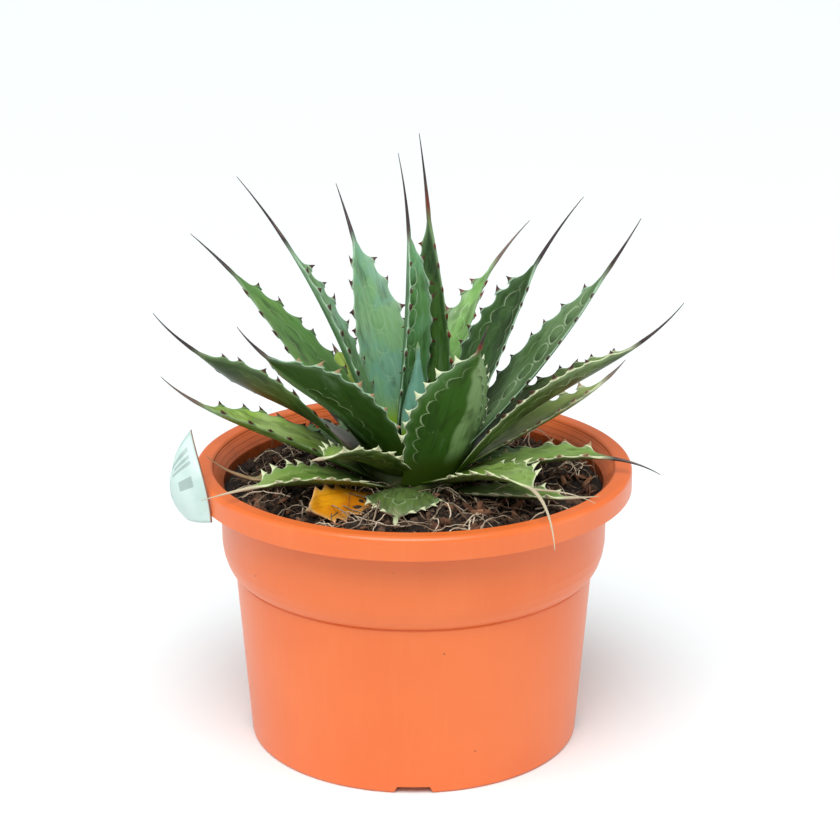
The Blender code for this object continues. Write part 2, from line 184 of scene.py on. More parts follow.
# Finer leaf surface.
SUNK = 0.1  # share of the blade that is sunk into the stem
WIDEST = 0.45
BLADE_RINGS = 150
SPINE_RINGS = 26
RING_POINTS = 21
MARGIN_RISE_HEIGHT = 0.0019
MARGIN_RISE_WIDTH = 0.0026
SCALLOP = 0.0011
MARGIN_END = 0.97
TOOTH_LENGTH = 0.0042
TOOTH_RADIUS = 0.0015
TOOTH_ROOT = 0.97  # where it grows from, 0 at the blade's middle and 1 at its edge
TOOTH_SWAY = 0.13
TOOTH_SIDES = 8
TOOTH_STEPS = 7
STRAND_STEPS = 16

# As in the solids, in metres and degrees. Finer than there: base is the foot's width as a share of the
# blade's, wave is how strongly the margin waves, and tooth is the size of its teeth.
SHAPE = "azimuth seat rise bend curl side length spine width fold roll base teeth full wave tooth"
Leaf = namedtuple("Leaf", SHAPE, defaults=(1.0, 1.0))

LEAVES = {
    "bud": (285, 18, 86, 8, 0, 0, 0.053, 0.003, 0.022, 75, 0, 0.75, 0, 2),
    "01": (150, 12, 95, -6, -13, 0, 0.114, 0.042, 0.03, 60, 0, 0.85, 7, 6, 0.45),
    "02": (54, 29, 82, 23, -2, 0, 0.128, 0.042, 0.035, 50, 0, 0.8, 7, 3, 0.3),
    "03": (117, 30, 62, -8, -7, 0, 0.118, 0.032, 0.036, 40, 0, 0.85, 6, 4, 0.8),
    "04": (22, 46, 66, -8, -12, 0, 0.114, 0.041, 0.04, 40, 15, 0.8, 7, 4),
    "05": (302, 60, 65, -4, 0, 0, 0.088, 0.016, 0.053, 50, -4, 0.78, 7, 4),
    "06": (174, 39, 73, -19, -4, 0, 0.124, 0.043, 0.025, 55, 0, 0.8, 7, 4, 0.7),
    "07": (113, 49, 53, -4, 0, 0, 0.09, 0.012, 0.02, 40, 0, 0.7, 6, 4),
    "08": (218, 44, 54.5, -44, 45, -7, 0.104, 0.022, 0.054, 35, 25, 0.8, 7, 4),
    "09": (72, 44, 53, -20, -2, -30, 0.118, 0.033, 0.027, 40, 0, 0.7, 7, 3),
    "10": (1, 53, 48, 6, 6, 8, 0.134, 0.03, 0.04, 40, 18, 0.8, 7, 3, 0.6),
    "11": (158, 50, 50, -6, -8, 2, 0.128, 0.029, 0.04, 20, 0, 0.7, 7, 4),
    "12": (90, 56, 44, -6, 0, 0, 0.092, 0.014, 0.021, 35, 0, 0.7, 6, 4),
    "13": (356, 68, 50, -50, 55, 0, 0.12, 0.032, 0.046, 60, -12, 0.7, 8, 4, 0.6),
    "14": (129, 62, 48, -4, 0, 0, 0.064, 0.005, 0.032, 35, 0, 0.7, 6, 10),
    "15": (172, 66, 42, -42, 52, 0, 0.114, 0.029, 0.042, 25, 52, 0.7, 7, 4, 0.7),
    "16": (76, 62, 38, -6, 0, 0, 0.09, 0.014, 0.032, 35, 0, 0.7, 6, 4),
    "17": (191, 73, 30, -22, 40, 0, 0.102, 0.024, 0.044, 40, 0, 0.75, 6, 4, 0.7),
    "18": (19, 73, 25, -14, 36, 0, 0.098, 0.013, 0.026, 50, 0, 0.7, 6, 4),
    "19": (316, 72, 18, -4, -68, -40, 0.081, 0.045, 0.036, 40, 0, 0.9, 5, 5),
    "20": (52, 74, 12, 0, 8, 0, 0.062, 0.016, 0.032, 35, 0, 0.7, 6, 4),
    "21": (234, 60, 36, -34, 0, -12, 0.057, 0.006, 0.038, 45, 10, 0.9, 5, 4),
    "22": (92, 78, 16, 0, 8, 0, 0.085, 0.02, 0.032, 35, 0, 0.7, 6, 4),
    "23": (148, 80, 14, 0, 8, 0, 0.054, 0.01, 0.03, 35, 0, 0.7, 6, 4),
    "24": (349, 80, 20, -13, -36, 0, 0.084, 0.027, 0.03, 40, 0, 0.75, 5, 5),
    "25": (262, 80, 24, -50, -30, 0, 0.042, 0.003, 0.042, -45, 0, 0.8, 4, 3, 1, 0.8),
    "26": (218, 80, 21, -30, 4, -6, 0.08, 0.029, 0.032, 45, 0, 0.85, 6, 5),
    "27": (120, 86, 8, 0, 6, 0, 0.06, 0.018, 0.03, 35, 0, 0.7, 5, 4),
    "28": (194, 87, 4, 0, 46, 0, 0.07, 0.022, 0.014, 60, 0, 0.7, 4, 5, 0.5, 0.6),
    "29": (22, 88, 8, 0, 6, 0, 0.05, 0.008, 0.03, 35, 0, 0.7, 4, 4),
    "30": (326, 88, 9, -8, 18, 0, 0.073, 0.017, 0.022, 40, 0, 0.75, 5, 5, 0.5),
    "dry": (230, 89, 9, -3, 0, 0, 0.058, 0.002, 0.02, 15, -45, 0.35, 4, 12, 1, 0.6),
}

# Colours, as red, green and blue out of 255 on the screen.
LIME = (130, 168, 14)
# Olive: the leaves' feet, partly their own colour and partly painted shade where the leaf bases crowd.
OLIVE = (60, 84, 20)
CREAM = (214, 222, 180)
MINT = (158, 190, 158)
SAGE = (120, 150, 104)
TAN = (166, 136, 104)
BROWN = (74, 40, 32)
RED_BROWN = (112, 48, 34)
DARK_SPINE = (58, 46, 46)
GREY_SPINE = (112, 94, 84)
PALE_SPINE = (196, 184, 156)

# skin, second: the two greens of the upper face; under: the lower face, darker than the leaf's own green
# as painted shade; foot: the blade's end by the stem, whose default olive is partly painted shade where the
# bases crowd; margin, tooth, spine: the horny parts; bloom: how much pale wax lies on it; lime: how far up
# the foot's colour reaches; ovals, claws: how strongly the neighbours' outlines are printed down the middle
# and beside the margins; inset: how far from the margin the claws lie; half: which half is of the second
# green below, painted light that shows one half lit and the other shaded in place of a fold.
FIELDS = "skin second under foot margin tooth spine bloom lime ovals claws inset half"
Look = namedtuple("Look", FIELDS, defaults=(OLIVE, CREAM, BROWN, DARK_SPINE, 0.15, 0.1, 0, 0.4, 0.0055, 0))

BACK = Look((92, 134, 70), (110, 150, 92), (64, 98, 44), margin=SAGE, bloom=0.2, lime=0.14)
LOOKS = {
    "bud": Look((109, 168, 140), (90, 145, 99), (119, 176, 152), foot=LIME, margin=MINT, spine=SAGE,
        bloom=0.3, lime=0.16, claws=0),
    "01": Look((104, 161, 107), (84, 139, 67), (60, 103, 48), margin=MINT, bloom=0.25, ovals=1, claws=0.15),
    "02": Look((74, 113, 46), (47, 83, 31), (34, 65, 22), margin=SAGE, tooth=RED_BROWN, spine=RED_BROWN,
        bloom=0.1, ovals=0.1, claws=0.15),
    "03": Look((115, 161, 108), (105, 157, 130), (81, 125, 74), foot=LIME, margin=MINT, bloom=0.35,
        ovals=0.2, claws=0.1),
    "04": Look((39, 67, 23), (54, 89, 37), (38, 66, 23), margin=MINT, ovals=0.1, claws=0.9),
    "05": Look((71, 110, 44), (141, 172, 119), (54, 96, 30), margin=(196, 208, 178), tooth=CREAM,
        spine=RED_BROWN, claws=1, inset=0.006, half=-1),
    "06": Look((106, 151, 91), (140, 184, 150), (87, 129, 83), margin=MINT, bloom=0.25, ovals=0.3,
        claws=0.6),
    "08": Look((62, 96, 38), (84, 120, 78), (38, 72, 18), margin=MINT, tooth=TAN, lime=0.08, claws=0.8,
        inset=0.018, half=1),
    "09": Look((138, 186, 106), (112, 162, 80), (91, 134, 67), margin=SAGE, tooth=RED_BROWN,
        spine=GREY_SPINE, bloom=0.2),
    "10": Look((100, 132, 84), (76, 108, 58), (56, 86, 40), margin=MINT, bloom=0.25, ovals=1, claws=0.2),
    "11": Look((106, 150, 70), (91, 140, 65), (54, 85, 33), margin=SAGE, bloom=0.25, claws=0.5, inset=0.01),
    "13": Look((140, 168, 100), (104, 132, 66), (56, 76, 16), bloom=0.25, lime=0.16),
    "14": Look((181, 205, 106), (162, 192, 84), (141, 174, 73), foot=(120, 150, 60), margin=SAGE,
        spine=BROWN, bloom=0, claws=0),
    "15": Look((98, 124, 50), (84, 108, 38), (44, 70, 14), foot=(104, 130, 66), margin=SAGE, bloom=0.1,
        claws=0.15),
    "17": Look((148, 186, 72), (175, 202, 123), (78, 110, 31), margin=SAGE, spine=GREY_SPINE, claws=0.2),
    "18": Look((158, 177, 101), (134, 162, 72), (94, 121, 41), foot=LIME, tooth=TAN, spine=GREY_SPINE,
        bloom=0.1, lime=0.16, claws=0.1),
    "19": Look((129, 166, 55), (150, 178, 106), (91, 124, 42), tooth=CREAM, spine=PALE_SPINE, lime=0.16),
    "21": Look((150, 185, 81), (101, 134, 44), (46, 74, 12), tooth=CREAM, spine=PALE_SPINE, bloom=0.1,
        lime=0.16),
    "24": Look((140, 172, 90), (116, 150, 66), (76, 106, 34), tooth=TAN, bloom=0.2, lime=0.16, claws=0.3),
    "25": Look((86, 108, 52), (136, 148, 102), (70, 88, 40), tooth=CREAM, spine=CREAM, bloom=0.2, claws=0.5,
        inset=0.009),
    "26": Look((116, 155, 63), (134, 160, 84), (89, 122, 40), tooth=CREAM, spine=PALE_SPINE),
    "28": Look((146, 138, 76), (160, 150, 96), (110, 102, 56), margin=TAN, tooth=TAN, spine=TAN, bloom=0,
        claws=0),
    "30": Look((124, 150, 78), (106, 134, 60), (80, 106, 42), tooth=CREAM, spine=PALE_SPINE, bloom=0.2,
        claws=0.3),
    "dry": Look((232, 158, 16), (206, 122, 10), (216, 140, 14), foot=(150, 84, 20), margin=(236, 176, 110),
        tooth=(226, 176, 136), spine=TAN, bloom=0, claws=0),
}


def linear(color):
    """A screen colour out of 255 as a linear (red, green, blue, 1)."""
    shares = [part / 255 for part in color]
    parts = [s / 12.92 if s <= 0.04045 else ((s + 0.055) / 1.055) ** 2.4 for s in shares]
    return (*parts, 1.0)


def blended(color, other, share):
    return tuple((1 - share) * part + share * more for part, more in zip(color, other))


def shaded(color, share):
    return blended((0, 0, 0), color, share)


class Nodes:
    """A material's node tree, written as short calls.

    A value is a number, a screen colour out of 255 or another node's output.
    """

    def __init__(self, name):
        self.material = bpy.data.materials.new(name)
        self.material.use_nodes = True
        self.tree = self.material.node_tree
        self.shader = self.tree.nodes["Principled BSDF"]

    def put(self, value, socket):
        if isinstance(value, bpy.types.NodeSocket):
            self.tree.links.new(value, socket)
        else:
            of_screen = socket.type == "RGBA" and len(value) == 3
            socket.default_value = linear(value) if of_screen else value

    def set(self, name, value):
        self.put(value, self.shader.inputs[name])

    def add(self, kind, **settings):
        node = self.tree.nodes.new("ShaderNode" + kind)
        for name, value in settings.items():
            setattr(node, name, value)
        return node

    def attribute(self, name):
        return self.add("Attribute", attribute_name=name).outputs["Fac"]

    def attributes(self, names):
        return [self.attribute(name) for name in names.split()]

    def math(self, operation, first, second=0.5):
        node = self.add("Math", operation=operation)
        self.put(first, node.inputs[0])
        self.put(second, node.inputs[1])
        return node.outputs[0]

    def times(self, first, second):
        return self.math("MULTIPLY", first, second)

    def plus(self, first, second):
        return self.math("ADD", first, second)

    def minus(self, first, second):
        return self.math("SUBTRACT", first, second)

    def size(self, value):
        return self.math("ABSOLUTE", value)

    def smooth(self, value, low, high, start=0.0, end=1.0):
        """Start where value is low, end where it is high, a smooth step between; low may be the larger."""
        if low > high:
            low, high, start, end = high, low, end, start
        node = self.add("MapRange", interpolation_type="SMOOTHSTEP")
        for socket, given in zip(node.inputs, (value, low, high, start, end)):
            self.put(given, socket)
        return node.outputs[0]

    def mix(self, factor, first, second, most=1):
        """First where factor is 0, second where it is 1; most holds second back to that share."""
        if most != 1:
            factor = self.times(factor, most)
        node = self.add("Mix", data_type="RGBA")
        self.put(factor, node.inputs[0])
        self.put(first, node.inputs[6])
        self.put(second, node.inputs[7])
        return node.outputs[2]

    def stretched(self, vector, scale):
        return self.filled("Mapping", Vector=vector, Scale=scale).outputs[0]

    def coordinates(self, scale=(1, 1, 1)):
        return self.stretched(self.add("TexCoord").outputs["Object"], scale)

    def filled(self, kind, **values):
        """A new node with values in the named inputs."""
        node = self.add(kind)
        for name, value in values.items():
            self.put(value, node.inputs[name])
        return node

    def noise(self, vector, scale, detail=3.0, roughness=0.55, distortion=0.0):
        node = self.filled("TexNoise", Vector=vector, Scale=scale, Detail=detail, Roughness=roughness)
        self.put(distortion, node.inputs["Distortion"])
        return node.outputs["Fac"]

    def cells(self, vector, scale):
        return self.filled("TexVoronoi", Vector=vector, Scale=scale).outputs["Distance"]

    def paint(self, color, value, low, high):
        """The base colour, and a roughness that goes from low to high with the value."""
        self.set("Base Color", color)
        self.set("Roughness", self.smooth(value, 0.2, 0.8, low, high))

    def bump(self, height, distance, strength):
        node = self.filled("Bump", Height=height, Distance=distance, Strength=strength)
        self.set("Normal", node.outputs[0])


def new_object(name, data):
    obj = bpy.data.objects.new(name, data)
    bpy.context.scene.collection.objects.link(obj)
    return obj


def add_piece(name, mesh, material, slot, *nodes):
    """Adds a finished mesh to the scene as a piece that stands for these solids."""
    obj = new_object(name, mesh)
    mesh.materials.clear()
    mesh.materials.append(material)
    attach(obj, BODY)
    if nodes:
        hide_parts(*nodes)
    return obj


def mesh_of(name, points, faces):
    mesh = bpy.data.meshes.new(name)
    mesh.from_pydata([tuple(point) for point in points], [], [tuple(face) for face in faces])
    mesh.update()
    mesh.shade_smooth()
    return mesh


def add_values(mesh, name, values):
    """Stores one number for each of the mesh's points, for its material to read."""
    mesh.attributes.new(name, "FLOAT", "POINT").data.foreach_set("value", values.astype(np.float32))


def finished(mesh_data, mesh):
    """Writes the bmesh to the mesh and frees it."""
    mesh_data.to_mesh(mesh)
    mesh_data.free()
    return mesh


def fix_normals(mesh):
    mesh_data = bmesh.new()
    mesh_data.from_mesh(mesh)
    bmesh.ops.recalc_face_normals(mesh_data, faces=mesh_data.faces)
    return finished(mesh_data, mesh)


def grid_faces(rows, columns, start=0):
    """Quads between rings of points, each ring closed on itself."""
    row, column = np.meshgrid(np.arange(rows - 1), np.arange(columns), indexing="ij")
    following = (column + 1) % columns
    corners = [row * columns + column, row * columns + following]
    corners += [(row + 1) * columns + following, (row + 1) * columns + column]
    return (np.stack(corners, -1).reshape(-1, 4) + start).tolist()


def full_turn(steps):
    """Angles that go once round in this many equal steps."""
    return np.linspace(0, 2 * pi, steps, endpoint=False)


def end_faces(rows, columns, start=0):
    """A face that closes the first ring and one that closes the last."""
    end = start + rows * columns
    return [list(range(start, start + columns)), list(range(end - columns, end))]


def merged_mesh(name, parts):
    """One mesh of parts, each (rings of points, faces, values); a value that a part doesn't give is 0."""
    points, faces, values = [], [], {key: [] for key in parts[0][2]}
    start = 0
    for part_points, part_faces, part_values in parts:
        points.append(part_points.reshape(-1, 3))
        faces += [[start + i for i in face] for face in part_faces]
        for key, found in values.items():
            found.append(np.broadcast_to(part_values.get(key, 0.0), part_points.shape[:2]).reshape(-1))
        start += len(points[-1])
    mesh = mesh_of(name, np.concatenate(points), faces)
    for key, found in values.items():
        add_values(mesh, key, np.concatenate(found))
    return mesh


def blend_in(value, low, high):
    """0 below low, 1 above high and a smooth step between."""
    share = np.clip((value - low) / (high - low), 0, 1)
    return share * share * (3 - 2 * share)


# Leaves


def leaf_path(leaf):
    """Places and directions down the middle of the leaf, as in the solids."""
    share = np.linspace(0, 1, PATH_STEPS + 1)
    slope = np.radians(leaf.rise + leaf.bend * share + leaf.curl * share**3)
    heading = np.radians(leaf.azimuth + leaf.side * share)
    level = np.stack([np.cos(heading), np.sin(heading), 0 * heading], 1)
    upright = np.array([0, 0, 1.0])
    forward = np.cos(slope)[:, None] * level + np.sin(slope)[:, None] * upright
    level_up = -np.sin(slope)[:, None] * level + np.cos(slope)[:, None] * upright
    level_across = np.stack([np.sin(heading), -np.cos(heading), 0 * heading], 1)
    turn = np.radians(leaf.roll * np.minimum(share / ROLL_END, 1))[:, None]
    up = level_up * np.cos(turn) + level_across * np.sin(turn)
    across = level_across * np.cos(turn) - level_up * np.sin(turn)
    seat, azimuth = radians(leaf.seat), radians(leaf.azimuth)
    outward = np.array([sin(seat) * cos(azimuth), sin(seat) * sin(azimuth), cos(seat)])
    tilt = abs(sin(radians(leaf.rise + leaf.seat - 90)))
    clearance = GAP + KEEL_THICKNESS / 2 * tilt
    root = upright * STEM_CENTRE_HEIGHT + (STEM_RADIUS + clearance) * outward
    steps = (forward[1:] + forward[:-1]) / 2 * (leaf.length + leaf.spine) / PATH_STEPS
    place = root + np.concatenate([np.zeros((1, 3)), np.cumsum(steps, 0)])
    return place, forward, up, across


def along_path(path, share):
    """The path's place and directions at these shares of its length; below 0 it runs straight back."""
    steps = np.linspace(0, 1, PATH_STEPS + 1)
    found = [np.stack([np.interp(share, steps, part[:, axis]) for axis in range(3)], 1) for part in path]
    length = np.linalg.norm(np.diff(path[0], axis=0), axis=1).sum()
    found[0] += found[1] * (np.minimum(share, 0) * length)[:, None]
    return found


def blade_share(leaf, along):
    """Width of the blade as a share of its widest place."""
    neck = np.sin(pi / 2 * np.clip(along / WIDEST, 0, 1)) ** 0.8
    return (leaf.base + (1 - leaf.base) * neck) * (1 - np.clip(along, 0, 1) ** leaf.full) ** 1.5


def tooth_places(leaf):
    pitch = (LAST_TOOTH - FIRST_TOOTH) / max(leaf.teeth, 1)
    sway = [TOOTH_SWAY * sin(2.3 * i + leaf.azimuth) for i in range(leaf.teeth)]
    return [FIRST_TOOTH + pitch * (i + 0.5 + sway[i]) for i in range(leaf.teeth)], pitch


def blade_part(leaf):
    """The blade's share of the whole length; the spine is the rest."""
    return leaf.length / (leaf.length + leaf.spine)


def leaf_half_width(leaf, along, share):
    """Half of the width at each share of the whole length, and the spine's own radius there."""
    blade = blade_part(leaf)
    past = np.clip((share - blade) / (1 - blade), 0, 1)
    thorn = (SPINE_RADIUS - SPINE_TIP_RADIUS) * (1 - past) ** 0.8 * (1 - 0.6 * past) + SPINE_TIP_RADIUS
    return np.maximum(leaf.width / 2 * blade_share(leaf, along), thorn), thorn


def margin_shift(leaf, along):
    """How far the margin stands out or in: a nub under each tooth and a shallow scallop between."""
    places, pitch = tooth_places(leaf)
    if not places:
        return 0 * along
    reach = blend_in(along, FIRST_TOOTH - pitch / 2, FIRST_TOOTH)
    reach = reach * (1 - blend_in(along, LAST_TOOTH, MARGIN_END))
    phase = (along - FIRST_TOOTH) / pitch - 0.5
    shift = -SCALLOP * (0.5 - 0.5 * np.cos(2 * pi * phase)) * reach
    for place in places:
        apart = (along - place) * leaf.length / MARGIN_RISE_WIDTH
        shift = shift + MARGIN_RISE_HEIGHT * np.exp(-apart * apart)
    return shift * leaf.wave


def leaf_surface(leaf, along, share, offset, side):
    """Points of the leaf's skin at each ring and offset across it, -1 to 1; side 1 is the upper face."""
    place, _, up, across = (part[:, None, :] for part in along_path(leaf_path(leaf), share))
    half_width, thorn = leaf_half_width(leaf, along, share)
    curl = np.radians(leaf.fold) * (0.35 + 0.65 * np.minimum(np.maximum(along, 0) * 1.4, 1))
    spine = blend_in(along, 0.92, 1.0)
    curl = (curl * (1 - spine) + np.copysign(SPINE_CURL, leaf.fold) * spine)[:, None]
    keel = np.minimum(KEEL_THICKNESS * (1 - 0.45 * np.clip(along, 0, 1)), 1.6 * half_width) / 2
    margin = np.minimum(keel, MARGIN_THICKNESS / 2)
    turn = curl * offset
    bow = half_width[:, None] / curl
    rounding = np.sqrt(np.clip(1 - np.abs(offset) ** 10, 0, 1))
    blade_half = (margin[:, None] + (keel - margin)[:, None] * (1 - offset**2)) * rounding
    thorn_half = 0.85 * thorn[:, None] * np.sqrt(np.clip(1 - offset**2, 0, 1))
    half = (blade_half * (1 - spine[:, None]) + thorn_half * spine[:, None]) * side
    edge = margin_shift(leaf, along)[:, None] * np.abs(offset) ** 6 * np.sign(offset)
    sideways = (bow - half) * np.sin(turn) + edge * np.cos(turn)
    lift = bow * (1 - np.cos(turn)) + half * np.cos(turn)
    lift = lift + np.abs(edge) * np.sign(edge * offset) * np.sin(np.abs(turn))
    return place + across * sideways[..., None] + up * lift[..., None]


def leaf_rings(leaf):
    """(place along the blade, share of the whole length) of each ring; the spine runs from 1 to 2."""
    blade = blade_part(leaf)
    along = np.linspace(-SUNK, 1, BLADE_RINGS)
    spine = np.linspace(0, 1, SPINE_RINGS + 1)[1:]
    share = np.concatenate([along * blade, blade + (1 - blade) * spine])
    return np.concatenate([along, 1 + spine]), share


def tooth_of(leaf, place, edge_side, size, hook):
    """One hooked tooth, from inside the margin out to its tip."""
    along = np.array([place, place + 0.004])
    edge_places = edge_side * np.array([[TOOTH_ROOT, 0.8]])
    rim, inner = leaf_surface(leaf, along, along * blade_part(leaf), edge_places, 0).transpose(1, 0, 2)
    forward = (rim[1] - rim[0]) / np.linalg.norm(rim[1] - rim[0])
    outward = rim[0] - inner[0]
    outward -= forward * outward.dot(forward)
    outward /= np.linalg.norm(outward)
    normal = np.cross(forward, outward)
    step = np.linspace(0, 1, TOOTH_STEPS)[:, None, None]
    turn = full_turn(TOOTH_SIDES)[None, :, None]
    length, radius = TOOTH_LENGTH * size, TOOTH_RADIUS * size ** 0.5
    axis = rim[0] + outward * length * (step - 0.15) + forward * length * hook * step**2
    thick = radius * ((1 - step) ** 0.9 + 0.04)
    flare = 1 + 1.1 * (1 - step) ** 3
    points = axis + forward * thick * flare * np.cos(turn) + normal * 0.6 * thick * np.sin(turn)
    faces = grid_faces(TOOTH_STEPS, TOOTH_SIDES) + [end_faces(TOOTH_STEPS, TOOTH_SIDES)[1]]
    return points, faces, {"along": place, "run": place * leaf.length, "horn": step[..., 0]}


def blade_of(leaf):
    """The blade with its spine: (rings of points, faces, values by name), as the other parts too."""
    along, share = leaf_rings(leaf)
    offset = -np.cos(np.linspace(0, pi, RING_POINTS))[None, :]
    upper = leaf_surface(leaf, along, share, offset, 1)
    lower = leaf_surface(leaf, along, share, offset, -1)[:, -2:0:-1]
    points = np.concatenate([upper, lower], 1)
    offsets = np.concatenate([offset, offset[:, -2:0:-1]], 1)
    half_width = leaf_half_width(leaf, along, share)[0][:, None]
    along = along[:, None]
    teeth, pitch = tooth_places(leaf)
    values = {
        "along": along,
        "across": offsets * half_width,
        "edge": (1 - np.abs(offsets)) * half_width,
        "phase": (along - FIRST_TOOTH) / pitch if teeth else 0.0,
        "under": np.arange(points.shape[1]) >= RING_POINTS,
        "horn": 0.0,
        "run": np.where(along > 1, leaf.length + (along - 1) * leaf.spine, leaf.length * along),
    }
    first, last = end_faces(*points.shape[:2])
    return points, grid_faces(*points.shape[:2]) + [first, last[::-1]], values


def strand_of(leaf):
    """A second, thinner strand that splits off the spine."""
    past = np.linspace(0, 1, STRAND_STEPS)
    start = blade_part(leaf) * 0.97
    place, _, up, across = along_path(leaf_path(leaf), start + (1 - start) * past)
    centre = place + STRAND_REACH * (past**1.3)[:, None]
    thick = (SPINE_RADIUS * 0.45 * (1 - past) + SPINE_TIP_RADIUS)[:, None, None]
    turn = full_turn(TOOTH_SIDES)[None, :, None]
    points = centre[:, None] + (across[:, None] * np.cos(turn) + up[:, None] * np.sin(turn)) * thick
    faces = grid_faces(STRAND_STEPS, TOOTH_SIDES) + end_faces(STRAND_STEPS, TOOTH_SIDES)
    return points, faces, {"along": 1.5, "run": leaf.length}


def leaf_mesh(name, leaf, random):
    parts = [blade_of(leaf)]
    for place in tooth_places(leaf)[0]:
        for edge_side in (-1, 1):
            size = leaf.tooth * random.uniform(0.7, 1.25) * (1 - 0.45 * abs(place - 0.5))
            parts.append(tooth_of(leaf, place, edge_side, size, random.uniform(-0.5, 0.7)))
    if name == SPLIT_SPINE:
        parts.append(strand_of(leaf))
    return fix_normals(merged_mesh(name, parts))


def skin_coordinates(n, seed):
    """Coordinates that lie along the blade, different on each leaf and on each of its faces."""
    across, run, under = n.attributes("across run under")
    depth = n.plus(n.times(under, 0.3), seed * 0.71)
    return n.filled("CombineXYZ", X=across, Y=run, Z=depth).outputs[0]


def swayed(n, value, place, scale, reach):
    """The value, pushed up or down by a noise of this scale, by up to half of reach."""
    sway = n.times(n.minus(n.noise(place, scale, 2), 0.5), reach)
    return n.plus(value, sway)


def oval_prints(n, skin_place, cell):
    """A chain of rounded outlines down the middle: (strength of the line, strength of the shade)."""
    sideways = swayed(n, n.attribute("across"), skin_place, 42, 0.006)
    sideways = swayed(n, sideways, skin_place, 260, 0.0022)
    sideways = n.math("POWER", n.size(n.math("DIVIDE", sideways, OVAL_HALF_WIDTH)), 2.4)
    lengthways = n.times(n.minus(cell, 0.5), 2 / 0.88)
    lengthways = swayed(n, lengthways, skin_place, 90, 0.7)
    reach = n.math("POWER", n.size(lengthways), 2.4)
    radius = n.math("POWER", n.plus(sideways, reach), 1 / 2.4)
    line = n.smooth(n.size(n.minus(radius, 1.0)), 0.15, 0.04)
    shade = n.times(n.smooth(radius, 1.0, 0.8), n.smooth(lengthways, 0.2, -0.9))
    return line, shade


def claw_prints(n, skin_place, cell, inset):
    """A row of arches with sharp feet beside the margin: (strength of the line, strength of the shade)."""
    arch = n.math("SINE", n.times(cell, pi))
    depth = n.plus(n.times(n.math("POWER", arch, 0.6), -0.003), inset + 0.0028)
    edge = swayed(n, n.attribute("edge"), skin_place, 130, 0.003)
    apart = n.minus(swayed(n, edge, skin_place, 420, 0.0012), depth)
    line = n.smooth(n.size(apart), 0.0007, 0.0002)
    shade = n.times(n.smooth(apart, 0.0, 0.0006), n.smooth(apart, 0.004, 0.001))
    return line, n.times(shade, arch)


def leaf_skin(n, look, skin_place, streaks, clouds):
    """The blade's greens: two above, a darker one below that is painted shade, a little wax, and the foot's
    colour, whose olive is partly painted shade.
    """
    along, across, under = n.attributes("along across under")
    skin = n.mix(n.smooth(clouds, 0.4, 0.6), look.skin, look.second)
    # The lower face's darker green is painted shade.
    below = n.mix(n.smooth(clouds, 0.45, 0.65), look.under, look.skin, 0.35)
    # Painted light: one half of the lower face takes the lighter second green as if lit, the other stays
    # shaded, in place of a fold.
    if look.half:
        side = swayed(n, n.times(across, look.half), skin_place, 34, 0.012)
        below = n.mix(n.smooth(side, 0.0005, 0.0035), below, look.second, 0.85)
    skin = n.mix(under, skin, below)
    patches = n.noise(n.stretched(skin_place, (1, 0.35, 1)), 120, 3, 0.6, 0.3)
    dark = shaded(look.under, 0.6)
    skin = n.mix(n.smooth(patches, 0.48, 0.68), skin, dark, 0.55)
    pale = blended(look.skin, WAX, 0.5)
    skin = n.mix(n.smooth(patches, 0.42, 0.26), skin, pale, 0.3)
    wax = n.smooth(streaks, 0.42, 0.72, 0, look.bloom)
    wax = n.times(wax, n.smooth(under, 0.2, 0.8, 1.0, 0.4))
    skin = n.mix(wax, skin, pale)
    skin = n.mix(n.smooth(n.attribute("edge"), 0.0034, 0.0008), skin, pale, 0.3)
    vein = n.noise(n.stretched(skin_place, (1, 0.03, 1)), 520, 2)
    skin = n.mix(n.smooth(vein, 0.55, 0.72), skin, dark, 0.25)
    # The foot's colour; the default olive is partly painted shade where the leaf bases crowd.
    return n.mix(n.smooth(along, look.lime + 0.1, look.lime * 0.3), skin, look.foot)


def leaf_horn(n, look, skin, streaks, grain):
    """Adds the horny margin, the drying tip with its spine, and the teeth."""
    along, edge, horn = n.attributes("along edge horn")
    margin = n.smooth(n.plus(edge, n.times(grain, 0.0003)), 0.0009, 0.0005)
    margin = n.times(margin, n.smooth(along, 0.02, 0.12))
    skin = n.mix(margin, skin, look.margin, 0.85)
    tip_wave = n.plus(along, n.times(n.minus(streaks, 0.5), 0.12))
    tip = n.smooth(n.minus(tip_wave, n.times(edge, 30)), 0.88, 1.02)
    far = DARK_SPINE if look.spine == RED_BROWN else look.spine
    spine = n.mix(n.smooth(along, 1.05, 1.35), look.spine, far)
    spine = n.mix(n.smooth(streaks, 0.5, 0.66), spine, SPINE_STREAK, 0.4)
    skin = n.mix(tip, skin, spine)
    tooth = n.mix(n.smooth(horn, 0.05, 0.4), look.margin, look.tooth)
    return n.mix(n.smooth(horn, 0.02, 0.12), skin, tooth)


